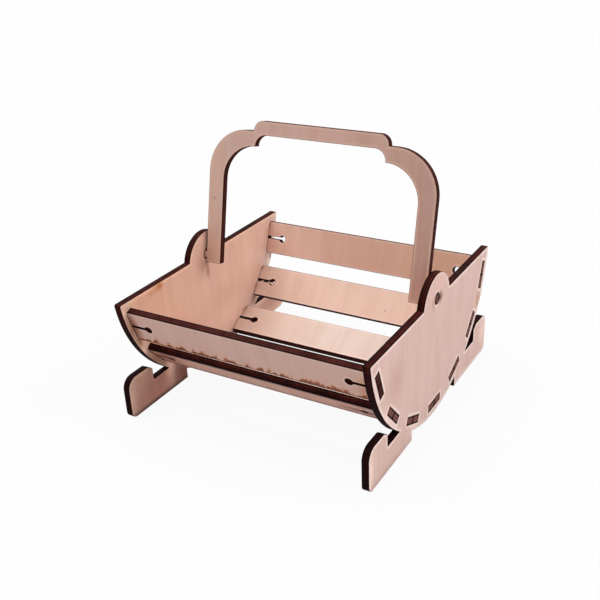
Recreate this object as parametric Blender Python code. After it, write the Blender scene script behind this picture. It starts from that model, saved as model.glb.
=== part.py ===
# Fruit basket cut from 6 mm birch plywood: two end panels with feet, seven slats and a swinging handle.
# Frame: +X runs from the left end panel to the right one, -Y is the front, +Z is up, the feet stand on z = 0.
import math

import bpy
import bmesh
from mathutils import Matrix, Vector
from mathutils.geometry import tessellate_polygon

# Sheet and fits, in metres.
PLY_THICKNESS = 0.006
FIT_GAP = 0.0003
SAME_POINT = 0.00001

# End panels: most of a disc, cut off straight along the rim.
BASKET_WIDTH = 0.225
BASKET_DEPTH = 0.2433
RIM_HEIGHT = 0.104
RIM_CORNER_RADIUS = 0.0015
ARC_TOE_INSET = 0.0023
ARC_GROUND_GAP = 0.0003

# The ear on the rim that carries the handle's pivot.
EAR_RADIUS = 0.0266
EAR_DROP = 0.0057

# The feet: a toe block at the outer end, then a lower shelf that runs back into the arc.
# The notch's width is the clear space between the arc and the toe, at the foot of the toe's slope.
FOOT_INNER_REACH = 0.0452
SHELF_HEIGHT = 0.0223
SHELF_RADIUS = 0.0015
NOTCH_WIDTH = 0.008
TOE_RISE = 0.0146
TOE_TOP_RADIUS = 0.010
TOE_BOTTOM_RADIUS = 0.006
TOE_SLOPE_RUN = 0.0059
TOE_SLOPE_DROP = 0.0038
TOE_SLOPE_RADIUS = 0.003

# Slats: seven around the arc, each with a tenon and a keyhole at both ends.
SLAT_COUNT = 7
TOP_SLAT_DROP = 0.022
MORTISE_MARGIN = 0.0055
SLAT_WIDTH = 0.031
TENON_WIDTH = 0.0235
SLIT_WIDTH = 0.0022
KEYHOLE_RADIUS = 0.0032
KEYHOLE_REACH = 0.0164

# Handle: heights are measured from its pivot.
HANDLE_SIDE_GAP = 0.0018
HANDLE_LEG_WIDTH = 0.0148
HANDLE_LEG_DROP = 0.0067
HANDLE_LEG_RADIUS = 0.001
HANDLE_TOP = 0.1209
HANDLE_STEP_RADIUS = 0.0087
HANDLE_SHOULDER_LENGTH = 0.0063
HANDLE_CORNER_RADIUS = 0.0367
HANDLE_GRIP_DEPTH = 0.0117
HANDLE_INNER_STEP_RADIUS = 0.010
HANDLE_INNER_SHOULDER_LENGTH = 0.0002
HANDLE_INNER_CORNER_RADIUS = 0.030
HANDLE_LEAN_DEG = 12.3
PIVOT_TAB_HEIGHT = 0.0064

# Arc steps, in degrees for each straight piece.
WIDE_ARC_STEP = 2.5
SMALL_ARC_STEP = 11.25

# Lengths that follow from the ones above.
ARC_RADIUS = BASKET_DEPTH / 2 - ARC_TOE_INSET
ARC_CENTRE_HEIGHT = ARC_GROUND_GAP + ARC_RADIUS
SLAT_CIRCLE_RADIUS = ARC_RADIUS - MORTISE_MARGIN - FIT_GAP - PLY_THICKNESS / 2
PANEL_MIDDLE_X = BASKET_WIDTH / 2 - PLY_THICKNESS / 2
PANEL_INNER_X = BASKET_WIDTH / 2 - PLY_THICKNESS
HANDLE_HALF_WIDTH = PANEL_INNER_X - HANDLE_SIDE_GAP
PIVOT_HOLE_RADIUS = math.hypot(PLY_THICKNESS, PIVOT_TAB_HEIGHT) / 2 + FIT_GAP

# The two top slats sit one drop below the rim, and the others share out the arc between them.
TOP_SLAT_DEG = math.degrees(math.asin((ARC_CENTRE_HEIGHT - RIM_HEIGHT + TOP_SLAT_DROP) / SLAT_CIRCLE_RADIUS))
SLAT_STEP_DEG = (90 - TOP_SLAT_DEG) * 2 / (SLAT_COUNT - 1)


def clear_scene():
    for item in list(bpy.data.objects):
        bpy.data.objects.remove(item, do_unlink=True)


def ply_material(name, colour):
    material = bpy.data.materials.new(name)
    material.use_nodes = True
    shader = material.node_tree.nodes["Principled BSDF"]
    shader.inputs["Base Color"].default_value = (*colour, 1.0)
    shader.inputs["Roughness"].default_value = 0.62
    shader.inputs["Metallic"].default_value = 0.0
    material.diffuse_color = (*colour, 1.0)
    return material


def arc(centre, radius, start_deg, end_deg, step_deg):
    # Points from start to end, both included.
    count = max(1, math.ceil(abs(end_deg - start_deg) / step_deg))
    points = []
    for index in range(count + 1):
        angle = math.radians(start_deg + (end_deg - start_deg) * index / count)
        points.append(centre + Vector((math.cos(angle), math.sin(angle))) * radius)
    return points


def rounded(before, corner, after, radius):
    # The corner between two straight edges, turned into an arc that touches both.
    to_before = (before - corner).normalized()
    to_after = (after - corner).normalized()
    half = to_before.angle(to_after) / 2
    bisector = (to_before + to_after).normalized()
    centre = corner + bisector * (radius / math.sin(half))
    first = corner + to_before * (radius / math.tan(half))
    last = corner + to_after * (radius / math.tan(half))
    start = math.degrees(math.atan2(first.y - centre.y, first.x - centre.x))
    end = math.degrees(math.atan2(last.y - centre.y, last.x - centre.x))
    turn = (end - start + 180) % 360 - 180
    return arc(centre, radius, start, start + turn, SMALL_ARC_STEP)


def mirrored(half_outline):
    # The half for positive x, from the bottom to the top, closed by its own mirror image.
    other = [Vector((-point.x, point.y)) for point in reversed(half_outline)]
    return tidy(half_outline + other)


def tidy(points):
    # Drops a point that repeats the one before it.
    kept = []
    for point in points:
        if not kept or (point - kept[-1]).length > SAME_POINT:
            kept.append(point)
    if (kept[0] - kept[-1]).length < SAME_POINT:
        kept.pop()
    return kept


def cut_plate(name, outline, holes, colour, placement):
    # One piece cut from the sheet. Its outline and holes lie in the local XY plane, mid-sheet.
    loops = [outline] + [list(reversed(hole)) for hole in holes]
    half = PLY_THICKNESS / 2
    mesh = bmesh.new()
    lower = []
    upper = []
    for loop in loops:
        lower.append([mesh.verts.new((point.x, point.y, -half)) for point in loop])
        upper.append([mesh.verts.new((point.x, point.y, half)) for point in loop])
    lower_all = [vert for loop in lower for vert in loop]
    upper_all = [vert for loop in upper for vert in loop]
    flat = [[Vector((point.x, point.y, 0)) for point in loop] for loop in loops]
    for first, second, third in tessellate_polygon(flat):
        mesh.faces.new((upper_all[first], upper_all[second], upper_all[third]))
        mesh.faces.new((lower_all[third], lower_all[second], lower_all[first]))
    for low, high in zip(lower, upper):
        for index in range(len(low)):
            following = (index + 1) % len(low)
            mesh.faces.new((low[index], low[following], high[following], high[index]))
    bmesh.ops.recalc_face_normals(mesh, faces=mesh.faces)
    bmesh.ops.dissolve_limit(
        mesh, angle_limit=math.radians(0.1), verts=mesh.verts, edges=mesh.edges, delimit={"NORMAL"})
    data = bpy.data.meshes.new(name)
    mesh.to_mesh(data)
    mesh.free()
    plate = bpy.data.objects.new(name, data)
    plate.data.materials.append(ply_material(name + "_ply", colour))
    bpy.context.scene.collection.objects.link(plate)
    plate.matrix_world = placement
    return plate


def slat_angle(index):
    # Direction from the arc's centre to a slat, in the panel's plane: index 0 is the front top slat.
    return math.radians(-90 + (index - (SLAT_COUNT - 1) / 2) * SLAT_STEP_DEG)


def slat_centre(index):
    angle = slat_angle(index)
    return Vector((0, ARC_CENTRE_HEIGHT)) + Vector((math.cos(angle), math.sin(angle))) * SLAT_CIRCLE_RADIUS


def foot_outline():
    # From the arc's lowest point, round one foot, back to the arc above the shelf.
    centre = Vector((0, ARC_CENTRE_HEIGHT))
    inner_deg = -math.degrees(math.acos(FOOT_INNER_REACH / ARC_RADIUS))
    shelf_deg = -math.degrees(math.asin((ARC_CENTRE_HEIGHT - SHELF_HEIGHT) / ARC_RADIUS))
    shelf_end = arc(centre, ARC_RADIUS, shelf_deg, shelf_deg, WIDE_ARC_STEP)[0]
    toe_height = SHELF_HEIGHT + TOE_RISE
    slope_foot_fall = ARC_CENTRE_HEIGHT - (toe_height - TOE_SLOPE_DROP)
    toe_outer = BASKET_DEPTH / 2
    toe_inner = math.sqrt(ARC_RADIUS ** 2 - slope_foot_fall ** 2) + NOTCH_WIDTH
    heel = Vector((FOOT_INNER_REACH, 0))
    tip_low = Vector((toe_outer, 0))
    tip_high = Vector((toe_outer, toe_height))
    slope_top = Vector((toe_inner + TOE_SLOPE_RUN, toe_height))
    slope_foot = Vector((toe_inner, toe_height - TOE_SLOPE_DROP))
    notch = Vector((toe_inner, SHELF_HEIGHT))
    points = arc(centre, ARC_RADIUS, -90, inner_deg, WIDE_ARC_STEP)
    points.append(heel)
    points += rounded(heel, tip_low, tip_high, TOE_BOTTOM_RADIUS)
    points += rounded(tip_low, tip_high, slope_top, TOE_TOP_RADIUS)
    points += rounded(tip_high, slope_top, slope_foot, TOE_SLOPE_RADIUS)
    points += rounded(slope_top, slope_foot, notch, TOE_SLOPE_RADIUS)
    points += rounded(slope_foot, notch, shelf_end, SHELF_RADIUS)
    points.append(shelf_end)
    return points, shelf_deg


def panel_outline():
    centre = Vector((0, ARC_CENTRE_HEIGHT))
    points, shelf_deg = foot_outline()
    rim_deg = -math.degrees(math.asin((ARC_CENTRE_HEIGHT - RIM_HEIGHT) / ARC_RADIUS))
    side = arc(centre, ARC_RADIUS, shelf_deg, rim_deg, WIDE_ARC_STEP)
    ear_centre = Vector((0, RIM_HEIGHT - EAR_DROP))
    ear_deg = math.degrees(math.asin(EAR_DROP / EAR_RADIUS))
    ear = arc(ear_centre, EAR_RADIUS, ear_deg, 90, WIDE_ARC_STEP)
    points += side[:-1]
    points += rounded(side[-2], side[-1], ear[0], RIM_CORNER_RADIUS)
    points += ear
    return mirrored(points)


def panel_slots():
    # One mortise for each slat, a fit gap wider than the tenon all round.
    slots = []
    for index in range(SLAT_COUNT):
        angle = slat_angle(index)
        outward = Vector((math.cos(angle), math.sin(angle))) * (PLY_THICKNESS / 2 + FIT_GAP)
        along = Vector((-math.sin(angle), math.cos(angle))) * (TENON_WIDTH / 2 + FIT_GAP)
        middle = slat_centre(index)
        slots.append([middle - outward - along, middle + outward - along,
                      middle + outward + along, middle - outward + along])
    return slots


def pivot_hole():
    centre = Vector((0, RIM_HEIGHT))
    return arc(centre, PIVOT_HOLE_RADIUS, 0, 360, SMALL_ARC_STEP)[:-1]


def build_panel(name, x, colour):
    # Local x runs to the back and local y runs up, so the sheet stands across the basket.
    turn = Matrix(((0, 0, 1), (1, 0, 0), (0, 1, 0))).to_4x4()
    return cut_plate(name, panel_outline(), panel_slots() + [pivot_hole()], colour,
                     Matrix.Translation((x, 0, 0)) @ turn)


def slat_end():
    # The right-hand end, from the lower edge to the upper one.
    shoulder = PANEL_INNER_X - FIT_GAP
    tip = BASKET_WIDTH / 2
    keyhole = Vector((PANEL_INNER_X - KEYHOLE_REACH, 0))
    mouth_deg = math.degrees(math.asin(SLIT_WIDTH / 2 / KEYHOLE_RADIUS))
    points = [
        Vector((shoulder, -SLAT_WIDTH / 2)),
        Vector((shoulder, -TENON_WIDTH / 2)),
        Vector((tip, -TENON_WIDTH / 2)),
        Vector((tip, -SLIT_WIDTH / 2)),
    ]
    points += arc(keyhole, KEYHOLE_RADIUS, -mouth_deg, mouth_deg - 360, SMALL_ARC_STEP * 2)
    points += [
        Vector((tip, SLIT_WIDTH / 2)),
        Vector((tip, TENON_WIDTH / 2)),
        Vector((shoulder, TENON_WIDTH / 2)),
        Vector((shoulder, SLAT_WIDTH / 2)),
    ]
    return points


def build_slat(name, index, colour):
    angle = slat_angle(index)
    middle = slat_centre(index)
    inward = Vector((0, -math.cos(angle), -math.sin(angle)))
    across = Vector((0, -math.sin(angle), math.cos(angle)))
    turn = Matrix(((1, 0, 0), across, inward)).transposed().to_4x4()
    right = slat_end()
    left = [Vector((-point.x, point.y)) for point in reversed(right)]
    return cut_plate(name, right + left, [], colour,
                     Matrix.Translation((0, middle.x, middle.y)) @ turn)


def handle_outer_half():
    # From the outside of the leg's foot up to the middle of the grip.
    wide = HANDLE_HALF_WIDTH
    foot = Vector((wide, -HANDLE_LEG_DROP))
    inner_foot = foot - Vector((HANDLE_LEG_WIDTH, 0))
    tab_low = Vector((wide, -PIVOT_TAB_HEIGHT / 2))
    shoulder = HANDLE_TOP - HANDLE_STEP_RADIUS
    corner = Vector((wide - HANDLE_CORNER_RADIUS, shoulder - HANDLE_CORNER_RADIUS))
    grip_end = corner.x - HANDLE_SHOULDER_LENGTH - HANDLE_STEP_RADIUS
    points = rounded(inner_foot, foot, tab_low, HANDLE_LEG_RADIUS)
    points += [
        tab_low,
        Vector((BASKET_WIDTH / 2, -PIVOT_TAB_HEIGHT / 2)),
        Vector((BASKET_WIDTH / 2, PIVOT_TAB_HEIGHT / 2)),
        Vector((wide, PIVOT_TAB_HEIGHT / 2)),
    ]
    points += arc(corner, HANDLE_CORNER_RADIUS, 0, 90, WIDE_ARC_STEP * 2)
    points += arc(Vector((grip_end, shoulder)), HANDLE_STEP_RADIUS, 0, 90, SMALL_ARC_STEP)
    return points


def handle_inner_half():
    # From the middle of the grip's underside down to the inside of the leg's foot.
    wide = HANDLE_HALF_WIDTH - HANDLE_LEG_WIDTH
    shoulder = HANDLE_TOP - HANDLE_GRIP_DEPTH - HANDLE_INNER_STEP_RADIUS
    corner = Vector((wide - HANDLE_INNER_CORNER_RADIUS, shoulder - HANDLE_INNER_CORNER_RADIUS))
    step = Vector((corner.x - HANDLE_INNER_SHOULDER_LENGTH - HANDLE_INNER_STEP_RADIUS, shoulder))
    foot = Vector((wide, -HANDLE_LEG_DROP))
    points = arc(step, HANDLE_INNER_STEP_RADIUS, 90, 0, SMALL_ARC_STEP)
    points += arc(corner, HANDLE_INNER_CORNER_RADIUS, 90, 0, WIDE_ARC_STEP * 2)
    points += rounded(Vector((wide, corner.y)), foot, foot + Vector((HANDLE_LEG_WIDTH, 0)), HANDLE_LEG_RADIUS)
    return points


def build_handle(name, colour):
    # Its origin is on the pivot axis, and it leans back from upright as it was left.
    outer = handle_outer_half()
    inner = handle_inner_half()
    left_outer = [Vector((-point.x, point.y)) for point in reversed(outer)]
    left_inner = [Vector((-point.x, point.y)) for point in reversed(inner)]
    outline = tidy(outer + left_outer + left_inner + inner)
    upright = Matrix(((1, 0, 0), (0, 0, -1), (0, 1, 0))).to_4x4()
    lean = Matrix.Rotation(-math.radians(HANDLE_LEAN_DEG), 4, "X")
    return cut_plate(name, outline, [], colour, Matrix.Translation((0, 0, RIM_HEIGHT)) @ lean @ upright)


def build_basket():
    clear_scene()
    panel_colour = (0.68, 0.47, 0.41)
    slat_colour = (0.60, 0.41, 0.33)
    handle_colour = (0.52, 0.34, 0.27)
    build_panel("left_end_panel", -PANEL_MIDDLE_X, panel_colour)
    build_panel("right_end_panel", PANEL_MIDDLE_X, panel_colour)
    names = ("slat_front_top", "slat_front_middle", "slat_front_bottom", "slat_bottom_centre",
             "slat_back_bottom", "slat_back_middle", "slat_back_top")
    for index, name in enumerate(names):
        build_slat(name, index, slat_colour)
    build_handle("handle", handle_colour)


build_basket()
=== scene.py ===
# Fruit basket of laser-cut birch plywood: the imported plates, dressed with veneer grain, plies and
# burnt edges.
import math

import bmesh
import bpy
import numpy as np
from mathutils import Matrix, Vector
from mathutils.geometry import delaunay_2d_cdt


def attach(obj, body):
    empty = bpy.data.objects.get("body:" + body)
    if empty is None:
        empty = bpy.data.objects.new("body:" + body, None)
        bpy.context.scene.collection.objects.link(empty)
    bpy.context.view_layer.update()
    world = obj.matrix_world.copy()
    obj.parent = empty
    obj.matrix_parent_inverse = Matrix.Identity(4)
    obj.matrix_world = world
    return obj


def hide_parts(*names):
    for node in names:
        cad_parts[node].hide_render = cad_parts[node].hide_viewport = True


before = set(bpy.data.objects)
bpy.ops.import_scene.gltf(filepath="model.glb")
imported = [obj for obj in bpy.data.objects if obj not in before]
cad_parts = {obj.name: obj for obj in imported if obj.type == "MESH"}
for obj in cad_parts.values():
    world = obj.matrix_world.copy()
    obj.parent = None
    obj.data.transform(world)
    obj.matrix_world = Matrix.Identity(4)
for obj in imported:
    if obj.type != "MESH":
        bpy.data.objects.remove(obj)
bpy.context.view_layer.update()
print("frame loaded:", len(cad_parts), "plates")


# Shared helpers

mmPerMetre = 1000.0


def toLinear(hexColour):
    # "#rrggbb" as it looks on screen, turned into the linear values that Blender's sockets take
    channels = [int(hexColour[place:place + 2], 16) / 255 for place in (1, 3, 5)]
    linear = [c / 12.92 if c <= 0.04045 else ((c + 0.055) / 1.055) ** 2.4 for c in channels]
    return (*linear, 1.0)


def addNode(tree, kind, settings=None, links=None):
    # settings holds sockets' values and the node's own options; links says what feeds each socket
    node = tree.nodes.new(kind)
    for key, value in (settings or {}).items():
        if key == "stops":
            stops = node.color_ramp.elements
            while len(stops) < len(value):
                stops.new(1.0)
            for stop, (place, hexColour) in zip(stops, value):
                stop.position = place
                stop.color = toLinear(hexColour)
        elif isinstance(key, int) or key in node.inputs:
            node.inputs[key].default_value = value
        else:
            setattr(node, key, value)
    for key, source in (links or {}).items():
        tree.links.new(source, node.inputs[key])
    return node


def newMaterial(name):
    material = bpy.data.materials.new(name)
    material.use_nodes = True
    tree = material.node_tree
    return material, tree, tree.nodes["Principled BSDF"]


# Camera, at the photograph's viewing angle

cameraPlace = {
    "azimuthDeg": 31.237,      # to the right of straight in front
    "elevationDeg": 25.770,
    "rollDeg": -2.661,
    "distance": 0.77501,
    "slideRight": -0.013447,
    "slideUp": 0.071545,
    "sensorMm": 36.0,
    "lensMm": 52.394,
    "sees": (0.01, 60.0),      # nearest and farthest, in metres
}


def placeCamera(place):
    azimuth = math.radians(place["azimuthDeg"])
    elevation = math.radians(place["elevationDeg"])
    roll = math.radians(place["rollDeg"])
    back = Vector((math.sin(azimuth) * math.cos(elevation),
                   -math.cos(azimuth) * math.cos(elevation), math.sin(elevation)))
    level = (-back).cross(Vector((0, 0, 1))).normalized()
    upright = level.cross(-back)
    right = level * math.cos(roll) + upright * math.sin(roll)
    up = upright * math.cos(roll) - level * math.sin(roll)
    where = back * place["distance"] + right * place["slideRight"] + up * place["slideUp"]
    lens = bpy.data.cameras.new("photoCamera")
    lens.sensor_width = place["sensorMm"]
    lens.lens = place["lensMm"]
    lens.clip_start, lens.clip_end = place["sees"]
    camera = bpy.data.objects.new("photoCamera", lens)
    turned = Matrix((right, up, back)).transposed().to_4x4()
    camera.matrix_world = Matrix.Translation(where) @ turned
    bpy.context.scene.collection.objects.link(camera)
    bpy.context.scene.camera = camera


placeCamera(cameraPlace)
bpy.context.scene.view_settings.view_transform = "Standard"
print("camera placed")


# Outlines, in metres, the same as the plates in the frame but with finer arcs

sheet = {
    "thickness": 0.006,
    "edgeRounding": 0.0002,    # a laser leaves the corner crisp, sanding takes this much off
    "fitGap": 0.0003,
}

facetDeg = {
    # how far each kind of arc turns from one point to the next
    "panelArc": 1.0, "ear": 2.0, "pivotHole": 10.0, "rimCorner": 15.0, "toeTop": 6.0,
    "smallCorner": 9.0, "keyhole": 12.0, "handleCorner": 3.0, "handleStep": 7.5, "handleFoot": 18.0,
}
samePoint = 1e-5               # corners nearer than this are one corner


def arc(centre, radius, startDeg, endDeg, stepDeg):
    count = max(1, math.ceil(abs(endDeg - startDeg) / stepDeg))
    points = []
    for index in range(count + 1):
        angle = math.radians(startDeg + (endDeg - startDeg) * index / count)
        points.append(Vector(centre) + Vector((math.cos(angle), math.sin(angle))) * radius)
    return points


def roundedCorner(before, corner, after, radius, stepDeg=facetDeg["smallCorner"]):
    before, corner, after = Vector(before), Vector(corner), Vector(after)
    toBefore = (before - corner).normalized()
    toAfter = (after - corner).normalized()
    half = toBefore.angle(toAfter) / 2
    centre = corner + (toBefore + toAfter).normalized() * (radius / math.sin(half))
    first = corner + toBefore * (radius / math.tan(half)) - centre
    last = corner + toAfter * (radius / math.tan(half)) - centre
    start = math.degrees(math.atan2(first.y, first.x))
    turn = (math.degrees(math.atan2(last.y, last.x)) - start + 180) % 360 - 180
    return arc(centre, radius, start, start + turn, stepDeg)


def withoutRepeats(points):
    kept = []
    for point in points:
        if not kept or (point - kept[-1]).length > samePoint:
            kept.append(point)
    if (kept[0] - kept[-1]).length < samePoint:
        kept.pop()
    return kept


def mirrored(points):
    return [Vector((-point.x, point.y)) for point in reversed(points)]


endPanel = {
    "width": 0.225,            # across both panels, outside to outside
    "arcRadius": 0.11935,
    "arcCentreHeight": 0.11965,
    "rimHeight": 0.104,
    "rimCornerRadius": 0.0015,
    "earRadius": 0.0266,
    "earDrop": 0.0057,
    "pivotHoleRadius": 0.004686,
    "footInnerReach": 0.0452,
    "shelfHeight": 0.0223,
    "shelfRadius": 0.0015,
    "notchWidth": 0.008,       # between the arc and the toe, at the foot of the toe's slope
    "toeOuterReach": 0.12165,
    "toeRise": 0.0146,
    "toeTopRadius": 0.010,
    "toeBottomRadius": 0.006,
    "toeSlopeRun": 0.0059,
    "toeSlopeDrop": 0.0038,
    "toeSlopeRadius": 0.003,
}

slat = {
    "count": 7,
    "width": 0.031,
    "tenonWidth": 0.0235,
    "slitWidth": 0.0022,
    "keyholeRadius": 0.0032,
    "keyholeReach": 0.0164,    # from the panel's inner face to the hole's middle
    "circleRadius": 0.11055,   # where the slats' middles lie
    "topDrop": 0.022,          # from the rim to the top slats' middles
}

handle = {
    "sideGap": 0.0018,
    "legWidth": 0.0148,
    "legDrop": 0.0067,
    "legRadius": 0.001,
    "top": 0.1209,
    "stepRadius": 0.0087,
    "shoulderLength": 0.0063,
    "cornerRadius": 0.0367,
    "gripDepth": 0.0117,
    "innerStepRadius": 0.010,
    "innerShoulderLength": 0.0002,
    "innerCornerRadius": 0.030,
    "leanDeg": 12.3,
    "tabHeight": 0.0064,
}

slatNodes = ("slat_front_top", "slat_front_middle", "slat_front_bottom", "slat_bottom_centre",
             "slat_back_bottom", "slat_back_middle", "slat_back_top")
panelInnerX = endPanel["width"] / 2 - sheet["thickness"]


def slatAngle(index):
    rise = endPanel["arcCentreHeight"] - endPanel["rimHeight"] + slat["topDrop"]
    topDeg = math.degrees(math.asin(rise / slat["circleRadius"]))
    step = (90 - topDeg) * 2 / (slat["count"] - 1)
    return math.radians(-90 + (index - (slat["count"] - 1) / 2) * step)


def slatMiddle(index):
    angle = slatAngle(index)
    reach = Vector((math.cos(angle), math.sin(angle))) * slat["circleRadius"]
    return Vector((0, endPanel["arcCentreHeight"])) + reach


def panelLoops():
    # local x runs to the back and local y runs up
    p = endPanel

    def arcDegAt(height):
        return -math.degrees(math.asin((p["arcCentreHeight"] - height) / p["arcRadius"]))

    centre = (0, p["arcCentreHeight"])
    innerDeg = -math.degrees(math.acos(p["footInnerReach"] / p["arcRadius"]))
    toeHeight = p["shelfHeight"] + p["toeRise"]
    slopeFootHeight = toeHeight - p["toeSlopeDrop"]
    slopeFootFall = p["arcCentreHeight"] - slopeFootHeight
    toeInner = math.sqrt(p["arcRadius"] ** 2 - slopeFootFall ** 2) + p["notchWidth"]
    heel = (p["footInnerReach"], 0)
    tipLow = (p["toeOuterReach"], 0)
    tipHigh = (p["toeOuterReach"], toeHeight)
    slopeTop = (toeInner + p["toeSlopeRun"], toeHeight)
    slopeFoot = (toeInner, slopeFootHeight)
    notch = (toeInner, p["shelfHeight"])
    side = arc(centre, p["arcRadius"], arcDegAt(p["shelfHeight"]), arcDegAt(p["rimHeight"]),
               facetDeg["panelArc"])
    earDeg = math.degrees(math.asin(p["earDrop"] / p["earRadius"]))
    ear = arc((0, p["rimHeight"] - p["earDrop"]), p["earRadius"], earDeg, 90, facetDeg["ear"])
    points = arc(centre, p["arcRadius"], -90, innerDeg, facetDeg["panelArc"])
    points.append(Vector(heel))
    points += roundedCorner(heel, tipLow, tipHigh, p["toeBottomRadius"])
    points += roundedCorner(tipLow, tipHigh, slopeTop, p["toeTopRadius"], facetDeg["toeTop"])
    points += roundedCorner(tipHigh, slopeTop, slopeFoot, p["toeSlopeRadius"])
    points += roundedCorner(slopeTop, slopeFoot, notch, p["toeSlopeRadius"])
    points += roundedCorner(slopeFoot, notch, side[0], p["shelfRadius"])
    points += side[:-1]
    points += roundedCorner(side[-2], side[-1], ear[0], p["rimCornerRadius"], facetDeg["rimCorner"])
    points += ear
    loops = [withoutRepeats(points + mirrored(points))]
    halfDeep = sheet["thickness"] / 2 + sheet["fitGap"]
    halfWide = slat["tenonWidth"] / 2 + sheet["fitGap"]
    for index in range(slat["count"]):
        angle = slatAngle(index)
        outward = Vector((math.cos(angle), math.sin(angle))) * halfDeep
        along = Vector((-math.sin(angle), math.cos(angle))) * halfWide
        middle = slatMiddle(index)
        loops.append([middle - outward + along, middle + outward + along,
                      middle + outward - along, middle - outward - along])
    hole = arc((0, p["rimHeight"]), p["pivotHoleRadius"], 0, 360, facetDeg["pivotHole"])
    loops.append(list(reversed(hole[:-1])))
    return loops


def slatLoops():
    # local x runs to the right along the slat and local y across it
    s = slat
    shoulder = panelInnerX - sheet["fitGap"]
    tip = endPanel["width"] / 2
    mouthDeg = math.degrees(math.asin(s["slitWidth"] / 2 / s["keyholeRadius"]))
    right = [Vector((shoulder, -s["width"] / 2)), Vector((shoulder, -s["tenonWidth"] / 2)),
             Vector((tip, -s["tenonWidth"] / 2)), Vector((tip, -s["slitWidth"] / 2))]
    right += arc((panelInnerX - s["keyholeReach"], 0), s["keyholeRadius"],
                 -mouthDeg, mouthDeg - 360, facetDeg["keyhole"])
    right += [Vector((tip, s["slitWidth"] / 2)), Vector((tip, s["tenonWidth"] / 2)),
              Vector((shoulder, s["tenonWidth"] / 2)), Vector((shoulder, s["width"] / 2))]
    return [right + mirrored(right)]


def handleLoops():
    # local y runs up the handle from its pivot
    h = handle
    wide = panelInnerX - h["sideGap"]
    tip = endPanel["width"] / 2
    halfTab = h["tabHeight"] / 2
    shoulder = h["top"] - h["stepRadius"]
    corner = Vector((wide - h["cornerRadius"], shoulder - h["cornerRadius"]))
    gripEnd = corner.x - h["shoulderLength"] - h["stepRadius"]
    foot = Vector((wide, -h["legDrop"]))
    outer = roundedCorner(foot - Vector((h["legWidth"], 0)), foot, (wide, -halfTab), h["legRadius"],
                          facetDeg["handleFoot"])
    outer += [Vector((wide, -halfTab)), Vector((tip, -halfTab)), Vector((tip, halfTab)),
              Vector((wide, halfTab))]
    outer += arc(corner, h["cornerRadius"], 0, 90, facetDeg["handleCorner"])
    outer += arc((gripEnd, shoulder), h["stepRadius"], 0, 90, facetDeg["handleStep"])
    innerWide = wide - h["legWidth"]
    innerShoulder = h["top"] - h["gripDepth"] - h["innerStepRadius"]
    innerCorner = Vector((innerWide - h["innerCornerRadius"],
                          innerShoulder - h["innerCornerRadius"]))
    innerEnd = innerCorner.x - h["innerShoulderLength"] - h["innerStepRadius"]
    inner = arc((innerEnd, innerShoulder), h["innerStepRadius"], 90, 0, facetDeg["handleStep"])
    inner += arc(innerCorner, h["innerCornerRadius"], 90, 0, facetDeg["handleCorner"])
    inner += roundedCorner((innerWide, innerCorner.y), (innerWide, -h["legDrop"]), foot,
                           h["legRadius"], facetDeg["handleFoot"])
    return [withoutRepeats(outer + mirrored(outer) + mirrored(inner) + inner)]


# A plate: two veneered faces and the cut edge all round. Each point of a face keeps its distance
# from the nearest cut, in millimetres, for the finishes.

plateMesh = {
    "rowDistances": (0.0006, 0.0013, 0.0024, 0.0045),    # rows of points beside every cut
    "rowSpacing": 0.0018,
    "rowShare": 0.97,          # a row's point keeps this share of its distance from every other cut
    "fieldSpacing": 0.006,
    "fieldMargin": 0.4,        # from the last row to the field, as a share of the field's spacing
    "sharpestCorner": 0.3,     # keeps the inset of a very sharp corner short
    "mergeMm": 1e-6,
    "sharpDeg": 50,
}


def insetLoop(points, distance):
    # each corner goes into the wood, at right angles to both of its sides; the wood is on the left
    moved = []
    for index, point in enumerate(points):
        before = (point - points[index - 1]).normalized()
        after = (points[(index + 1) % len(points)] - point).normalized()
        first = Vector((-before.y, before.x))
        second = Vector((-after.y, after.x))
        spread = max(plateMesh["sharpestCorner"], 1 + first.dot(second))
        moved.append(point + (first + second) * (distance / spread))
    return moved


def cornersOf(loops):
    return np.array([corner[:] for loop in loops for corner in loop])


def distanceToLoops(places, loops):
    starts = cornersOf(loops)
    along = cornersOf([loop[1:] + loop[:1] for loop in loops]) - starts
    lengths = (along ** 2).sum(1)
    nearest = np.empty(len(places))
    batch = 500                # places measured at a time, to spare memory
    for first in range(0, len(places), batch):
        gap = places[first:first + batch, None, :] - starts[None]
        share = np.clip((gap * along[None]).sum(2) / lengths[None], 0, 1)
        miss = gap - share[..., None] * along[None]
        nearest[first:first + batch] = np.sqrt((miss ** 2).sum(2)).min(1)
    return nearest


def insideLoops(places, loops):
    # even-odd rule
    inside = np.zeros(len(places), bool)
    for loop in loops:
        for a, b in zip(loop, loop[1:] + loop[:1]):
            if a.y == b.y:
                continue
            crosses = (places[:, 1] > min(a.y, b.y)) & (places[:, 1] <= max(a.y, b.y))
            atX = a.x + (places[:, 1] - a.y) * (b.x - a.x) / (b.y - a.y)
            inside ^= crosses & (places[:, 0] < atX)
    return inside


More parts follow.
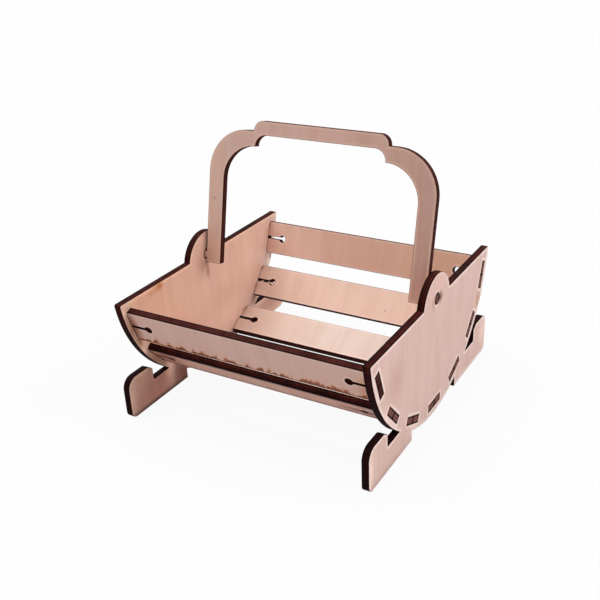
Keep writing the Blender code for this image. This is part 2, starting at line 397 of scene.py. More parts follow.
def pointsOnFace(loops):
    # rows that follow every cut, so that scorch and pale rim can fade over a millimetre or two, and
    # a coarse field behind them
    found = []
    for distance in plateMesh["rowDistances"]:
        row = []
        for loop in loops:
            for a, b in zip(loop, loop[1:] + loop[:1]):
                steps = max(1, round((b - a).length / plateMesh["rowSpacing"]))
                side = Vector((-(b - a).y, (b - a).x)).normalized() * distance
                row += [(a.lerp(b, (step + 0.5) / steps) + side)[:] for step in range(steps)]
        row = np.array(row)
        clear = distanceToLoops(row, loops) > distance * plateMesh["rowShare"]
        found.append(row[insideLoops(row, loops) & clear])
    corners = cornersOf(loops)
    low, high = corners.min(0), corners.max(0)
    space = plateMesh["fieldSpacing"]
    columns, rows = np.meshgrid(np.arange(low[0], high[0], space),
                                np.arange(low[1], high[1], space))
    field = np.stack([columns.ravel(), rows.ravel()], 1)
    field = field[insideLoops(field, loops)]
    margin = plateMesh["rowDistances"][-1] + space * plateMesh["fieldMargin"]
    found.append(field[distanceToLoops(field, loops) > margin])
    return np.concatenate(found)


def faceTriangles(loops, rims):
    # one face's points and triangles, worked out in millimetres, and which points lie on the rims
    border, borderEdges = [], []
    for rim in rims:
        first = len(border)
        border += [point * mmPerMetre for point in rim]
        borderEdges += [(first + k, first + (k + 1) % len(rim)) for k in range(len(rim))]
    places = border + [Vector(place) * mmPerMetre for place in pointsOnFace(loops).tolist()]
    points, _, triangles, cameFrom, _, _ = delaunay_2d_cdt(
        places, borderEdges, [], 0, plateMesh["mergeMm"], True)
    points = np.array([point[:] for point in points]) / mmPerMetre
    middles = np.array([points[list(t)].mean(0) for t in triangles])
    triangles = [t for t, inside in zip(triangles, insideLoops(middles, rims)) if inside]
    newNumber = {old: new for new, sources in enumerate(cameFrom) for old in sources}
    return points, triangles, [newNumber[k] for k in range(len(border))]


def platePiece(name, loops, placement, materials, isTenonEnd):
    # materials are the veneered face, the cut edge and the tenon's end
    half = sheet["thickness"] / 2
    rounding = sheet["edgeRounding"]
    rims = [insetLoop(loop, rounding) for loop in loops]
    points, triangles, rimCorners = faceTriangles(loops, rims)
    used = sorted({corner for t in triangles for corner in t} | set(rimCorners))
    distances = distanceToLoops(points[used], loops)
    mesh = bmesh.new()
    toCut = mesh.verts.layers.float.new("edgeDistance")
    faces = []
    for z in (half, -half):
        verts = {}
        for corner, distance in zip(used, distances):
            verts[corner] = mesh.verts.new((points[corner][0], points[corner][1], z))
            verts[corner][toCut] = distance * mmPerMetre
        for t in triangles:
            mesh.faces.new([verts[corner] for corner in (t if z > 0 else reversed(t))])
        faces.append(verts)
    start = 0
    slope = rounding * (1 - math.sqrt(0.5))    # half way round the rounding
    sideLevels = ((slope, half - slope), (0, half - rounding),
                  (0, rounding - half), (slope, slope - half))
    for loop, rim in zip(loops, rims):
        levels = [[faces[0][rimCorners[start + k]] for k in range(len(rim))]]
        for inset, z in sideLevels:
            levels.append([mesh.verts.new((p.x, p.y, z)) for p in insetLoop(loop, inset)])
        levels.append([faces[1][rimCorners[start + k]] for k in range(len(rim))])
        for high, low in zip(levels, levels[1:]):
            for k in range(len(rim)):
                following = (k + 1) % len(rim)
                face = mesh.faces.new((high[following], high[k], low[k], low[following]))
                face.material_index = 2 if isTenonEnd(loop[k], loop[following]) else 1
                face.smooth = True
        start += len(rim)
    data = bpy.data.meshes.new(name)
    mesh.to_mesh(data)
    mesh.free()
    data.set_sharp_from_angle(angle=math.radians(plateMesh["sharpDeg"]))
    for material in materials:
        data.materials.append(material)
    piece = bpy.data.objects.new(name, data)
    bpy.context.scene.collection.objects.link(piece)
    piece.matrix_world = placement
    return piece


# Finishes. A spread gives the noise's values between which a pattern goes from none to full.

birchVeneer = {
    # rotary-peeled birch, sanded, no varnish: pale pinkish tan, satin-matt, with a faint wavy
    # figure and short fine pores
    "figureMm": (75, 13),      # along and across the grain
    "streakMm": (90, 1.7),     # birch's lines are near 0.4 mm apart: drawn this coarse so they show
    "poreMm": (3.2, 0.5),
    "depthMm": 50,             # the figure hardly changes through a plate
    "sheetStepMm": (131, 57),  # from one plate's place in the veneer to the next one's
    "toneSpread": (0.25, 0.75),
    "poreSpread": (0.62, 0.74),
    # the painted shade's ramp runs this far either side of the plate's middle
    "paintedShadeReachMm": 110,
    "patchMm": 9.0,            # the heat's uneven patches beside the cuts
    "scorchSpread": (0.42, 0.68),
    "scorchLeastMm": 0.3,
    # the pale line beside each cut is a painted highlight of the rounded edge
    "rimSpread": (0.36, 0.56),
    "rimLeast": 0.6,           # the weakest part of the pale line, as a share of the strongest
    "rimFromMm": 0.9,
    "burnMm": (0.15, 0.9),
    "smokeSpread": (0.42, 0.64),
    "smokeTallness": 0.12,     # how little the smoke's fingers change up the face
    "smokeSolidShare": 0.35,   # the part of a finger that is still thick
    "smokeStops": (0.1, 0.45, 0.8),    # where its three colours lie, from the cut to its tip
    "roughSpread": (0.35, 0.65),
    "roughness": (0.50, 0.66),
    "bumpMm": 0.05,
    "bumpStrength": 0.35,
    "ior": 1.5,
    "specular": 0.32,
}


def veneerFace(name, look):
    # look holds the tones and marks of one kind of plate
    v = birchVeneer
    material, tree, shader = newMaterial(name)
    place = addNode(tree, "ShaderNodeTexCoord").outputs["Object"]
    mm = addNode(tree, "ShaderNodeVectorMath", {"operation": "SCALE", "Scale": mmPerMetre},
                 {0: place}).outputs[0]
    parts = addNode(tree, "ShaderNodeSeparateXYZ", {}, {"Vector": mm}).outputs
    turned = addNode(tree, "ShaderNodeMapping", {
        "Rotation": (0, 0, math.radians(-look["grainDeg"])),
        "Location": (look["seed"] * v["sheetStepMm"][0], look["seed"] * v["sheetStepMm"][1], 0)},
        {"Vector": mm}).outputs[0]

    def grain(sizeMm, detail, distortion):
        scaled = addNode(tree, "ShaderNodeVectorMath", {
            "operation": "MULTIPLY", 1: (1 / sizeMm[0], 1 / sizeMm[1], 1 / v["depthMm"])},
            {0: turned}).outputs[0]
        return addNode(tree, "ShaderNodeTexNoise", {
            "Scale": 1.0, "Detail": detail, "Roughness": 0.55, "Distortion": distortion},
            {"Vector": scaled}).outputs["Fac"]

    figure = grain(v["figureMm"], detail=2.0, distortion=0.6)
    streaks = grain(v["streakMm"], detail=3.0, distortion=0.1)
    pores = grain(v["poreMm"], detail=1.0, distortion=0.0)
    mixed = addNode(tree, "ShaderNodeMix", {"data_type": "FLOAT", "Factor": look["streakShare"]},
                    {2: figure, 3: streaks}).outputs[0]
    tone = addNode(tree, "ShaderNodeMapRange", {
        "From Min": v["toneSpread"][0], "From Max": v["toneSpread"][1]},
        {"Value": mixed}).outputs[0]
    wood = addNode(tree, "ShaderNodeValToRGB", {
        "stops": [(0.0, look["dark"]), (0.5, look["middle"]), (1.0, look["pale"])]},
        {"Fac": tone}).outputs["Color"]
    if "paintedShadeDrift" in look:
        # painted shade: a ramp along the plate darkens and tints the colour toward one end, where
        # less light falls
        along = addNode(tree, "ShaderNodeMapRange", {
            "From Min": -v["paintedShadeReachMm"], "From Max": v["paintedShadeReachMm"]},
            {"Value": parts["X"]}).outputs[0]
        tint = addNode(tree, "ShaderNodeValToRGB", {"stops": look["paintedShadeDrift"]},
                       {"Fac": along}).outputs["Color"]
        wood = addNode(tree, "ShaderNodeMix", {
            "data_type": "RGBA", "blend_type": "MULTIPLY", "Factor": 1.0},
            {6: wood, 7: tint}).outputs[2]
    pore = addNode(tree, "ShaderNodeMapRange", {
        "From Min": v["poreSpread"][0], "From Max": v["poreSpread"][1],
        "To Max": look["poreStrength"]}, {"Value": pores}).outputs[0]
    colour = addNode(tree, "ShaderNodeMix", {"data_type": "RGBA", 7: toLinear(look["pore"])},
                     {"Factor": pore, 6: wood}).outputs[2]

    # beside a cut: a wide uneven tan from the heat, a narrow pale line that is a painted highlight
    # of the rounded edge, and the burnt corner itself
    away = addNode(tree, "ShaderNodeAttribute", {"attribute_name": "edgeDistance"}).outputs["Fac"]
    patches = addNode(tree, "ShaderNodeTexNoise", {"Scale": 1 / v["patchMm"], "Detail": 2.0},
                      {"Vector": turned}).outputs["Fac"]
    reach = addNode(tree, "ShaderNodeMapRange", {
        "From Min": v["scorchSpread"][0], "From Max": v["scorchSpread"][1],
        "To Min": v["scorchLeastMm"], "To Max": look["scorchReachMm"]},
        {"Value": patches}).outputs[0]
    scorch = addNode(tree, "ShaderNodeMapRange", {
        "interpolation_type": "SMOOTHSTEP", "From Min": 0.0, "To Min": look["scorchStrength"],
        "To Max": 0.0}, {"Value": away, "From Max": reach}).outputs[0]
    colour = addNode(tree, "ShaderNodeMix", {"data_type": "RGBA", 7: toLinear(look["scorch"])},
                     {"Factor": scorch, 6: colour}).outputs[2]
    paintedHighlightShare = addNode(tree, "ShaderNodeMapRange", {
        "From Min": v["rimSpread"][0], "From Max": v["rimSpread"][1],
        "To Min": look["rimStrength"] * v["rimLeast"], "To Max": look["rimStrength"]},
        {"Value": patches}).outputs[0]
    rim = addNode(tree, "ShaderNodeMapRange", {
        "interpolation_type": "SMOOTHSTEP", "From Min": v["rimFromMm"],
        "From Max": look["rimReachMm"], "To Max": 0.0},
        {"Value": away, "To Min": paintedHighlightShare}).outputs[0]
    colour = addNode(tree, "ShaderNodeMix", {"data_type": "RGBA", 7: toLinear(look["rim"])},
                     {"Factor": rim, 6: colour}).outputs[2]
    burn = addNode(tree, "ShaderNodeMapRange", {
        "interpolation_type": "SMOOTHSTEP", "From Min": v["burnMm"][0], "From Max": v["burnMm"][1],
        "To Min": look["burnStrength"], "To Max": 0.0}, {"Value": away}).outputs[0]
    colour = addNode(tree, "ShaderNodeMix", {"data_type": "RGBA", 7: toLinear(look["burn"])},
                     {"Factor": burn, 6: colour}).outputs[2]

    # marks and smoke lie on one face: 1 for the one toward the plate's own +Z, -1 for the other
    toward = addNode(tree, "ShaderNodeMath", {"operation": "MULTIPLY", 1: look["markedFace"]},
                     {0: parts["Z"]}).outputs[0]
    onFace = addNode(tree, "ShaderNodeMath", {"operation": "GREATER_THAN", 1: 0.0},
                     {0: toward}).outputs[0]
    for mark in look.get("marksAndPaintedLight", ()):
        # a soft spot, given in the plate's own millimetres; some are real marks, some painted light
        # and shade
        offset = addNode(tree, "ShaderNodeVectorMath", {
            "operation": "SUBTRACT", 1: (*mark["place"], 0)}, {0: mm}).outputs[0]
        shrunk = addNode(tree, "ShaderNodeVectorMath", {
            "operation": "MULTIPLY", 1: (1 / mark["size"][0], 1 / mark["size"][1], 0)},
            {0: offset}).outputs[0]
        far = addNode(tree, "ShaderNodeVectorMath", {"operation": "LENGTH"},
                      {0: shrunk}).outputs["Value"]
        spot = addNode(tree, "ShaderNodeMapRange", {
            "interpolation_type": "SMOOTHSTEP", "From Min": 0.0, "From Max": 1.0,
            "To Min": mark["strength"], "To Max": 0.0}, {"Value": far}).outputs[0]
        spot = addNode(tree, "ShaderNodeMath", {"operation": "MULTIPLY"},
                       {0: spot, 1: onFace}).outputs[0]
        colour = addNode(tree, "ShaderNodeMix", {"data_type": "RGBA", 7: toLinear(mark["colour"])},
                         {"Factor": spot, 6: colour}).outputs[2]

    if "smoke" in look:
        # fingers of smoke that the air jet drew up the face from the lower cut
        smoke = look["smoke"]
        line = addNode(tree, "ShaderNodeVectorMath", {
            "operation": "MULTIPLY", 1: (1 / smoke["spacingMm"], v["smokeTallness"], 0)},
            {0: mm}).outputs[0]
        wave = addNode(tree, "ShaderNodeTexNoise", {"Scale": 1.0, "Detail": 3.0, "Roughness": 0.62},
                       {"Vector": line}).outputs["Fac"]
        height = addNode(tree, "ShaderNodeMapRange", {
            "interpolation_type": "SMOOTHSTEP",
            "From Min": v["smokeSpread"][0], "From Max": v["smokeSpread"][1],
            "To Min": smoke["leastMm"], "To Max": smoke["mostMm"]}, {"Value": wave}).outputs[0]
        above = addNode(tree, "ShaderNodeMath", {"operation": "SUBTRACT", 0: smoke["cutAtMm"]},
                        {1: parts["Y"]}).outputs[0]
        ratio = addNode(tree, "ShaderNodeMath", {"operation": "DIVIDE"},
                        {0: above, 1: height}).outputs[0]
        haze = addNode(tree, "ShaderNodeMapRange", {
            "interpolation_type": "SMOOTHSTEP", "From Min": v["smokeSolidShare"], "From Max": 1.0,
            "To Min": smoke["strength"], "To Max": 0.0}, {"Value": ratio}).outputs[0]
        haze = addNode(tree, "ShaderNodeMath", {"operation": "MULTIPLY"},
                       {0: haze, 1: onFace}).outputs[0]
        tan = addNode(tree, "ShaderNodeValToRGB", {
            "stops": list(zip(v["smokeStops"], (smoke["near"], smoke["middle"], smoke["far"])))},
            {"Fac": ratio}).outputs["Color"]
        colour = addNode(tree, "ShaderNodeMix", {"data_type": "RGBA"},
                         {"Factor": haze, 6: colour, 7: tan}).outputs[2]

    tree.links.new(colour, shader.inputs["Base Color"])
    rough = addNode(tree, "ShaderNodeMapRange", {
        "From Min": v["roughSpread"][0], "From Max": v["roughSpread"][1],
        "To Min": v["roughness"][0], "To Max": v["roughness"][1]}, {"Value": streaks}).outputs[0]
    tree.links.new(rough, shader.inputs["Roughness"])
    height = addNode(tree, "ShaderNodeMath", {"operation": "SUBTRACT"},
                     {0: streaks, 1: pore}).outputs[0]
    bump = addNode(tree, "ShaderNodeBump", {
        "Strength": v["bumpStrength"], "Distance": v["bumpMm"] / mmPerMetre},
        {"Height": height}).outputs[0]
    tree.links.new(bump, shader.inputs["Normal"])
    shader.inputs["IOR"].default_value = v["ior"]
    shader.inputs["Specular IOR Level"].default_value = v["specular"]
    return material


cutEdge = {
    # what all cut edges share
    "wanderMm": 14,            # the plies' lines waver over this length
    "wanderByMm": 0.5,
    "ridgeHeightMm": 10,       # longer than the sheet is thick, so a ridge runs right across it
    "ridgeSpread": (0.38, 0.62),
    "sootSpread": (0.4, 0.7),
    "roughness": (0.9, 0.62),
    "bumpMm": 0.1,
    "bumpStrength": 0.5,
    "specular": 0.05,
}

charredEdge = {
    # plywood cut by laser: the plies show as dark and maroon bands under matt soot, ridged across
    # the sheet
    "plies": [(0.0, "#180503"), (0.15, "#240806"), (0.27, "#562722"), (0.45, "#4c211c"),
              (0.50, "#351410"), (0.55, "#4c211c"), (0.73, "#562722"), (0.85, "#240806"),
              (1.0, "#180503")],
    "soot": "#100304",
    "ridgeMm": 0.9,            # laser ridges are near 0.15 mm apart: drawn this coarse so they show
    "patchMm": 22,
    "sootShare": 0.55,
    "ridgeContrast": 0.35,
}

# the darkest cuts: blacker, and blackest toward one face; partly soot, partly painted shade where
# these edges sit in shadow
sootAndShadeEdge = dict(charredEdge, sootShare=0.9, ridgeContrast=0.5, plies=[
    (0.0, "#0e0202"), (0.17, "#180403"), (0.3, "#40140f"), (0.45, "#3c120d"), (0.50, "#280a07"),
    (0.55, "#42160f"), (0.7, "#572019"), (0.83, "#2c0c09"), (1.0, "#1c0604")])

# the panels' arcs and feet are blacker than their rims: the edge darkens toward the bottom
panelEdge = dict(sootAndShadeEdge, lowDarkening=0.75, plainAboveMm=100, darkBelowMm=65)

tenonEndGrain = {
    # tenon ends, trimmed flush: browner than the edges, with the plies and the ridges crossing as a
    # fine hatch
    "plies": [(0.0, "#43211d"), (0.17, "#5c3631"), (0.24, "#96695f"), (0.45, "#8c5f56"),
              (0.50, "#5a322c"), (0.55, "#8c5f56"), (0.76, "#96695f"), (0.83, "#5c3631"),
              (1.0, "#43211d")],
    "soot": "#2b1110",
    "ridgeMm": 1.6,
    "patchMm": 9,
    "sootShare": 0.35,
    "ridgeContrast": 0.5,
}


def burntPlyEdge(name, look):
    e = cutEdge
    material, tree, shader = newMaterial(name)
    place = addNode(tree, "ShaderNodeTexCoord").outputs["Object"]
    mm = addNode(tree, "ShaderNodeVectorMath", {"operation": "SCALE", "Scale": mmPerMetre},
                 {0: place}).outputs[0]
    parts = addNode(tree, "ShaderNodeSeparateXYZ", {}, {"Vector": mm}).outputs
    wander = addNode(tree, "ShaderNodeTexNoise", {"Scale": 1 / e["wanderMm"], "Detail": 1.0},
                     {"Vector": mm}).outputs["Fac"]
    shift = addNode(tree, "ShaderNodeMath", {
        "operation": "MULTIPLY_ADD", 1: e["wanderByMm"], 2: -e["wanderByMm"] / 2},
        {0: wander}).outputs[0]
    uneven = addNode(tree, "ShaderNodeMath", {"operation": "ADD"},
                     {0: parts["Z"], 1: shift}).outputs[0]
    halfSheetMm = sheet["thickness"] * mmPerMetre / 2
    across = addNode(tree, "ShaderNodeMapRange", {
        "From Min": -halfSheetMm, "From Max": halfSheetMm}, {"Value": uneven}).outputs[0]
    plies = addNode(tree, "ShaderNodeValToRGB", {"stops": look["plies"]},
                    {"Fac": across}).outputs["Color"]
    ridgeScale = (1 / look["ridgeMm"], 1 / look["ridgeMm"], 1 / e["ridgeHeightMm"])
    flattened = addNode(tree, "ShaderNodeVectorMath", {"operation": "MULTIPLY", 1: ridgeScale},
                        {0: mm}).outputs[0]
    ridges = addNode(tree, "ShaderNodeTexNoise", {"Scale": 1.0, "Detail": 1.5},
                     {"Vector": flattened}).outputs["Fac"]
    ridge = addNode(tree, "ShaderNodeMapRange", {
        "From Min": e["ridgeSpread"][0], "From Max": e["ridgeSpread"][1],
        "To Min": look["ridgeContrast"], "To Max": 0.0}, {"Value": ridges}).outputs[0]
    patches = addNode(tree, "ShaderNodeTexNoise", {"Scale": 1 / look["patchMm"], "Detail": 2.0},
                      {"Vector": mm}).outputs["Fac"]
    patch = addNode(tree, "ShaderNodeMapRange", {
        "From Min": e["sootSpread"][0], "From Max": e["sootSpread"][1],
        "To Max": look["sootShare"]}, {"Value": patches}).outputs[0]
    layers = [ridge, patch]
    # the edge darkens toward the bottom of the plate
    if "lowDarkening" in look:
        layers.append(addNode(tree, "ShaderNodeMapRange", {
            "From Min": look["plainAboveMm"], "From Max": look["darkBelowMm"],
            "To Max": look["lowDarkening"]}, {"Value": parts["Y"]}).outputs[0])
    colour = plies
    for layer in layers:
        colour = addNode(tree, "ShaderNodeMix", {"data_type": "RGBA", 7: toLinear(look["soot"])},
                         {"Factor": layer, 6: colour}).outputs[2]
    tree.links.new(colour, shader.inputs["Base Color"])
    rough = addNode(tree, "ShaderNodeMapRange", {
        "To Min": e["roughness"][0], "To Max": e["roughness"][1]}, {"Value": ridges}).outputs[0]
    tree.links.new(rough, shader.inputs["Roughness"])
    bump = addNode(tree, "ShaderNodeBump", {
        "Strength": e["bumpStrength"], "Distance": e["bumpMm"] / mmPerMetre},
        {"Height": ridges}).outputs[0]
    tree.links.new(bump, shader.inputs["Normal"])
    shader.inputs["Specular IOR Level"].default_value = e["specular"]
    return material


edgeMaterial = burntPlyEdge("laserCutBirchEdge", charredEdge)
sootAndShadeEdgeMaterial = burntPlyEdge("laserCutSootAndShadeEdge", sootAndShadeEdge)
panelEdgeMaterial = burntPlyEdge("laserCutPanelEdge", panelEdge)
tenonMaterial = burntPlyEdge("birchTenonEnd", tenonEndGrain)

# the veneer's tones, how strongly the laser marked it, and the painted highlight beside each cut;
# each kind of plate changes what differs
panelLook = {
    "pale": "#dfc0b6", "middle": "#d8b7ac", "dark": "#cfac9f", "pore": "#bd9586",
    "rim": "#f5d9ce", "scorch": "#c48a6a", "burn": "#5e282a",
    "grainDeg": 90, "markedFace": 1.0, "streakShare": 0.35, "poreStrength": 0.28,
    "scorchReachMm": 3.0, "scorchStrength": 0.35, "rimReachMm": 4.2, "rimStrength": 0.85,
    "burnStrength": 0.9,
}
slatLook = dict(panelLook, pale="#ecd3c5", middle="#e6cabb", dark="#dcbdad", streakShare=0.3,
                rimReachMm=2.6, rimStrength=0.6, burnStrength=0.6)
print("finishes ready")


# The end panels

panelTurn = Matrix(((0, 0, 1), (1, 0, 0), (0, 1, 0))).to_4x4()
panelMiddleX = (endPanel["width"] - sheet["thickness"]) / 2

leftPanel = {
    "seed": 1.0, "rim": "#f5d0b6",
    "pale": "#e8c6b5", "middle": "#e2bcab", "dark": "#d8b09d",
    # painted shade: darker and warmer toward the panel's front end, white toward the back
    "paintedShadeDrift": [(0.10, "#f8f1e8"), (0.30, "#f6f3ec"), (0.50, "#f5f5f5"), (0.75, "#faf8f6"),
              (0.92, "#ffffff")],
    "marksAndPaintedLight": [
        # painted light and shade: pale lifts on the front foot, the lower inner face, beside the
        # back joints and on the ear, and darker, redder spots on both feet
        {"place": (-80, 8), "size": (56, 34), "strength": 0.7, "colour": "#d89080"},
        {"place": (-80, 20), "size": (12, 20), "strength": 0.4, "colour": "#8a5648"},
        {"place": (-67, 14), "size": (8, 30), "strength": 0.55, "colour": "#f4ccb6"},
        {"place": (28, 26), "size": (64, 32), "strength": 0.65, "colour": "#f8d4c2"},
        {"place": (-119, 16), "size": (8, 28), "strength": 0.6, "colour": "#ffd8c4"},
        {"place": (72, 54), "size": (44, 36), "strength": 0.6, "colour": "#f8d4c2"},
        {"place": (101, 70), "size": (26, 32), "strength": 0.9, "colour": "#ffdccc"},
        {"place": (0, 118), "size": (22, 26), "strength": 0.75, "colour": "#ffdccc"},
        {"place": (104, 14), "size": (28, 28), "strength": 0.7, "colour": "#a8705c"},
        # a scorched spot under the rim, and the painted shadow of the handle's leg beside and below
        # it
        {"place": (-69, 101), "size": (9, 6), "strength": 0.85, "colour": "#b96c2e"},
        {"place": (-79, 99), "size": (10, 5), "strength": 0.5, "colour": "#c68448"},
        {"place": (0, 98), "size": (4, 9), "strength": 0.6, "colour": "#8a543c"},
        {"place": (-1, 87), "size": (4, 11), "strength": 0.7, "colour": "#8a543c"},
        # darker, warmer brown beside the joints with the slats: partly scorch, partly painted shade
        # and warm bounce light
        {"place": (105, 92), "size": (3, 8), "strength": 0.5, "colour": "#a8623f"},
        {"place": (103, 61), "size": (4, 10), "strength": 0.85, "colour": "#6a3826"},
        {"place": (86, 55), "size": (5, 4), "strength": 0.5, "colour": "#a8623f"},
        {"place": (73, 41), "size": (5, 5), "strength": 0.45, "colour": "#a8623f"},
        {"place": (51, 26), "size": (8, 3), "strength": 0.6, "colour": "#a87445"},
        {"place": (37, 19), "size": (8, 4), "strength": 0.45, "colour": "#a87445"},
        {"place": (-107, 84), "size": (5, 15), "strength": 0.75, "colour": "#8f5030"},
        {"place": (-100, 66), "size": (5.5, 13), "strength": 0.75, "colour": "#8f5030"},
        {"place": (-88, 38), "size": (15, 9), "strength": 0.65, "colour": "#a05434"},
        {"place": (69, 29), "size": (11, 10), "strength": 0.6, "colour": "#ac5c2c"},
        # painted shade on the back foot and the front heel, and a dark line along the foot's lower
        # edge, partly burn, partly painted contact shadow
        {"place": (88, 14), "size": (20, 14), "strength": 0.4, "colour": "#a06450"},
        {"place": (-48, 8), "size": (12, 22), "strength": 0.65, "colour": "#a23a1e"},
        {"place": (-88, 0), "size": (110, 6), "strength": 0.95, "colour": "#4a1a16"},
    ],
}
rightPanel = {
    "seed": 2.0, "rim": "#fbe6dc", "rimReachMm": 3.8,
    "marksAndPaintedLight": [
        # paler patches on the toes and beside the front arc, and darker ones on the ear, the front
        # and beside the back joints
        {"place": (-119, 18), "size": (8, 26), "strength": 0.8, "colour": "#f8dccf"},
        {"place": (-94, 46), "size": (7, 16), "strength": 0.7, "colour": "#f8dccf"},
        {"place": (114, 22), "size": (14, 22), "strength": 0.7, "colour": "#f3d2c6"},
        {"place": (95, 62), "size": (5, 14), "strength": 0.65, "colour": "#b0805a"},
        {"place": (0, 116), "size": (34, 30), "strength": 0.8, "colour": "#e2b9ae"},
        {"place": (-76, 70), "size": (22, 30), "strength": 0.5, "colour": "#b98e7c"},
        {"place": (101, 60), "size": (9, 10), "strength": 0.5, "colour": "#a8703f"},
        # painted shade round the pivot's hole, dark on its right where the hole looks deep, and an
        # olive-brown patch on its left
        {"place": (6, 102.8), "size": (8, 7.5), "strength": 1.0, "colour": "#5a2614"},
        {"place": (-6.5, 102.5), "size": (5, 9), "strength": 0.6, "colour": "#a07a50"},
        # a pin knot, and a dark line along the foot's lower edge, partly burn, partly painted
        # contact shadow
        {"place": (2, 67), "size": (3, 2.5), "strength": 0.35, "colour": "#b57c6c"},
        {"place": (-88, 0), "size": (110, 6.5), "strength": 0.5, "colour": "#8a4a40"},
    ],
}


def neverTenon(a, b):
    return False


def dressPlate(piece, node, body):
    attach(piece, body)
    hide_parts(node)


for name, node, x, own in (("leftEndPanel", "left_end_panel", -panelMiddleX, leftPanel),
                           ("rightEndPanel", "right_end_panel", panelMiddleX, rightPanel)):
    face = veneerFace(name + "BirchVeneer", dict(panelLook, **own))
    piece = platePiece(name, panelLoops(), Matrix.Translation((x, 0, 0)) @ panelTurn,
                       (face, panelEdgeMaterial), neverTenon)
    dressPlate(piece, node, "basket")
print("end panels built")


# The seven slats, and what each changes in slatLook

slatOwn = {
    "slat_front_top": {
        "name": "frontTopSlat", "seed": 3.0,
        "pale": "#e6c0b1", "middle": "#e1b8a9", "dark": "#d9ae9e",
        "smoke": {"cutAtMm": 15.5, "spacingMm": 6.0, "leastMm": 2.2, "mostMm": 10.0,
                  "strength": 0.95, "near": "#4a1a0c", "middle": "#ac561c", "far": "#de9848"},
        "markedFace": -1.0,    # the outer side
        "charredTip": True,    # its tenon ends are as black as its edges
        # the first spot is darker brown at the joint with the left panel: partly scorch, partly
        # painted shade
        "marksAndPaintedLight": [{"place": (-105, 0), "size": (8, 28), "strength": 0.8, "colour": "#8f4c28"},
                  {"place": (103, 6), "size": (12, 14), "strength": 0.5, "colour": "#b8763e"},
                  {"place": (102, -3), "size": (11, 9), "strength": 0.6, "colour": "#d0a070"}],
    },
    "slat_front_middle": {
        "name": "frontMiddleSlat", "seed": 4.0,
        "pale": "#e1b29f", "middle": "#d9a18c", "dark": "#cd947f",
        "markedFace": -1.0,
        # its cut edges are the darkest: partly soot, partly painted shade
        "sootAndShadeEdges": True,         # its cut edges are the smokiest
        "marksAndPaintedLight": [{"place": (-94, -4), "size": (18, 14), "strength": 0.8, "colour": "#8c4628"},
                  {"place": (84, 2), "size": (28, 9), "strength": 0.7, "colour": "#8c4628"},
                  {"place": (87, -1), "size": (15, 4), "strength": 0.9, "colour": "#3a1a10"},
                  {"place": (93, 7), "size": (10, 5), "strength": 0.7, "colour": "#a04c34"},
                  # darker bands beside both edges: partly scorch, partly painted shade, the upper
                  # one under the front top slat's edge
                  {"place": (0, 17), "size": (500, 12), "strength": 0.9, "colour": "#6e3c2e"},
                  {"place": (0, -15.5), "size": (500, 7), "strength": 0.9, "colour": "#3c130f"}],
    },
    "slat_front_bottom": {"name": "frontBottomSlat", "seed": 5.0},
    "slat_bottom_centre": {"name": "bottomSlat", "seed": 6.0},
    "slat_back_bottom": {
        "name": "backBottomSlat", "seed": 7.0,
        "pale": "#efd8cb", "middle": "#e9cebf", "dark": "#e0c2b2",
        # painted shade: a little darker and cooler from the left end toward the right
        "paintedShadeDrift": [(0.14, "#ffffff"), (0.40, "#eff8fc"), (0.60, "#eef8ff")],
        # darker tan at the joint with the left panel: partly scorch, partly painted shade
        "marksAndPaintedLight": [{"place": (-107, 8), "size": (5, 12), "strength": 0.5, "colour": "#b0703c"}],
    },
    "slat_back_middle": {
        "name": "backMiddleSlat", "seed": 8.0,
        "pale": "#eed4c5", "middle": "#e8cbbb", "dark": "#dfbfae",
        # the second spot is darker tan at the joint with the left panel: partly scorch, partly
        # painted shade
        "marksAndPaintedLight": [{"place": (33, -5), "size": (2, 1.5), "strength": 0.55, "colour": "#8c5a42"},
                  {"place": (-107, -8), "size": (4, 10), "strength": 0.45, "colour": "#b0703c"}],
    },
    "slat_back_top": {
        "name": "backTopSlat", "seed": 9.0,
        "pale": "#f3d3c4", "middle": "#eecaba", "dark": "#e5bfae",
        # painted shade: darker toward the right end
        "paintedShadeDrift": [(0.20, "#ffffff"), (0.43, "#f2eae5"), (0.63, "#f2eee8"), (0.85, "#ece4d8")],
    },
}


def isSlatTip(a, b):
    tip = endPanel["width"] / 2 - samePoint
    return abs(a.x) > tip and abs(b.x) > tip


for index, node in enumerate(slatNodes):
    own = slatOwn[node]
    angle = slatAngle(index)
    middle = slatMiddle(index)
    inward = Vector((0, -math.cos(angle), -math.sin(angle)))
    across = Vector((0, -math.sin(angle), math.cos(angle)))
    turn = Matrix(((1, 0, 0), across, inward)).transposed().to_4x4()
    face = veneerFace(own["name"] + "BirchVeneer", dict(slatLook, **own))
    edge = sootAndShadeEdgeMaterial if own.get("sootAndShadeEdges") else edgeMaterial
    tip = edgeMaterial if own.get("charredTip") else tenonMaterial
    piece = platePiece(own["name"], slatLoops(), Matrix.Translation((0, middle.x, middle.y)) @ turn,
                       (face, edge, tip), isSlatTip)
    dressPlate(piece, node, "basket")
print("slats built")


# The handle, leaning back as it was left

handleLook = dict(
    panelLook, seed=10.0, pale="#e8c6b5", middle="#e3bdaa", dark="#d9b09c", rim="#f3cfba",
    burn="#8c4f47", streakShare=0.22, poreStrength=0.16, rimReachMm=2.8, rimStrength=0.5,
    burnStrength=0.6,
    # painted shade: darker toward the right leg
    paintedShadeDrift=[(0.02, "#ffffff"), (0.13, "#f6f5fb"), (0.50, "#fbf7fe"), (0.86, "#e8e3e3"),
           (0.94, "#e2dadc")],
    # a pin knot
    marksAndPaintedLight=[{"place": (-99, 51), "size": (2.5, 2), "strength": 0.5, "colour": "#8c5a48"}])

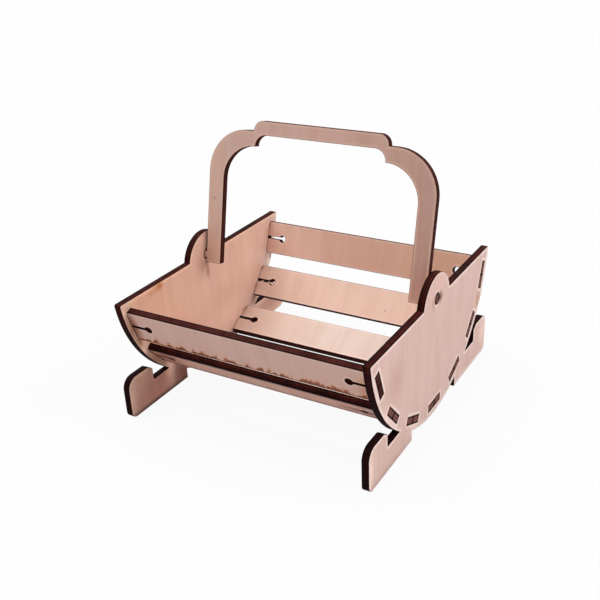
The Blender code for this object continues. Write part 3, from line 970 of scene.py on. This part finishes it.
upright = Matrix(((1, 0, 0), (0, 0, -1), (0, 1, 0))).to_4x4()
lean = Matrix.Rotation(-math.radians(handle["leanDeg"]), 4, "X")
pivot = Matrix.Translation((0, 0, endPanel["rimHeight"]))
face = veneerFace("handleBirchVeneer", handleLook)
piece = platePiece("swingHandle", handleLoops(), pivot @ lean @ upright,
                   (face, edgeMaterial, tenonMaterial), isSlatTip)
dressPlate(piece, "handle", "handle")
print("handle built")


# Floor, lamps and background

studio = {
    "floorSize": 16.0,
    "floorDrop": 0.0002,       # below the feet, so that their undersides don't flicker
    "paperColours": ("#cbced2", "#d2d5d9"),
    "fibreMm": 1.1,            # real fibres are near 0.03 mm wide: drawn as soft specks this coarse
    "paperRoughness": 0.9,
    "paperSpecular": 0.1,
    "plainWhite": 0.93,        # this share of the paper shows plain white, the rest takes shadow
    "worldStrength": 0.32,
    "worldColour": "#f6f4f4",
    "lamps": {
        # each sun's direction from the basket, how wide its softbox looks, and its strength
        "topLeftSoftbox": {"from": (-0.38, 0.0, 0.92), "widthDeg": 60, "strength": 2.7,
                           "colour": "#fffaf6"},
        "rightSoftbox": {"from": (0.76, 0.40, 0.50), "widthDeg": 45, "strength": 1.75,
                         "colour": "#fffaf8"},
    },
}
white = (1, 1, 1, 1)


def seenRays(tree):
    # 1 where the camera sees a thing, straight, mirrored or through something clear, 0 for light
    rays = addNode(tree, "ShaderNodeLightPath").outputs
    seen = rays["Is Camera Ray"]
    for kind in ("Is Glossy Ray", "Is Transmission Ray"):
        seen = addNode(tree, "ShaderNodeMath", {"operation": "MAXIMUM"},
                       {0: seen, 1: rays[kind]}).outputs[0]
    return seen


def whiteSweep():
    # matt white background paper, which gives the eye nothing but the basket's soft shadow
    material, tree, shader = newMaterial("whiteBackgroundPaper")
    shader.inputs["Roughness"].default_value = studio["paperRoughness"]
    shader.inputs["Specular IOR Level"].default_value = studio["paperSpecular"]
    place = addNode(tree, "ShaderNodeTexCoord").outputs["Object"]
    fibre = addNode(tree, "ShaderNodeTexNoise", {
        "Scale": mmPerMetre / studio["fibreMm"], "Detail": 2.0}, {"Vector": place}).outputs["Fac"]
    grey, pale = (toLinear(colour) for colour in studio["paperColours"])
    tint = addNode(tree, "ShaderNodeMix", {"data_type": "RGBA", 6: grey, 7: pale},
                   {"Factor": fibre}).outputs[2]
    tree.links.new(tint, shader.inputs["Base Color"])
    share = addNode(tree, "ShaderNodeMath", {"operation": "MULTIPLY", 1: studio["plainWhite"]},
                    {0: seenRays(tree)}).outputs[0]
    glow = addNode(tree, "ShaderNodeEmission", {"Color": white, "Strength": 1.0}).outputs[0]
    both = addNode(tree, "ShaderNodeMixShader", {},
                   {0: share, 1: shader.outputs[0], 2: glow}).outputs[0]
    tree.links.new(both, tree.nodes["Material Output"].inputs["Surface"])
    return material


floorMesh = bpy.data.meshes.new("paperFloor")
reach = studio["floorSize"] / 2
floorCorners = [(-reach, -reach, 0), (reach, -reach, 0), (reach, reach, 0), (-reach, reach, 0)]
floorMesh.from_pydata(floorCorners, [], [(0, 1, 2, 3)])
floorMesh.materials.append(whiteSweep())
floor = bpy.data.objects.new("paperFloor", floorMesh)
floor.location.z = -studio["floorDrop"]
bpy.context.scene.collection.objects.link(floor)

world = bpy.data.worlds.new("softStudio")
bpy.context.scene.world = world
world.use_nodes = True
tree = world.node_tree
tree.nodes.clear()
roomLight = addNode(tree, "ShaderNodeBackground", {
    "Color": toLinear(studio["worldColour"]), "Strength": studio["worldStrength"]}).outputs[0]
backdrop = addNode(tree, "ShaderNodeBackground", {"Color": white, "Strength": 1.0}).outputs[0]
mixed = addNode(tree, "ShaderNodeMixShader", {},
                {0: seenRays(tree), 1: roomLight, 2: backdrop}).outputs[0]
addNode(tree, "ShaderNodeOutputWorld", {}, {"Surface": mixed})

for name, lamp in studio["lamps"].items():
    sun = bpy.data.lights.new(name, "SUN")
    sun.energy = lamp["strength"]
    sun.angle = math.radians(lamp["widthDeg"])
    sun.color = toLinear(lamp["colour"])[:3]
    holder = bpy.data.objects.new(name, sun)
    holder.location = Vector(lamp["from"])
    holder.rotation_euler = (-holder.location).to_track_quat("-Z", "Y").to_euler()
    bpy.context.scene.collection.objects.link(holder)
print("studio lit")
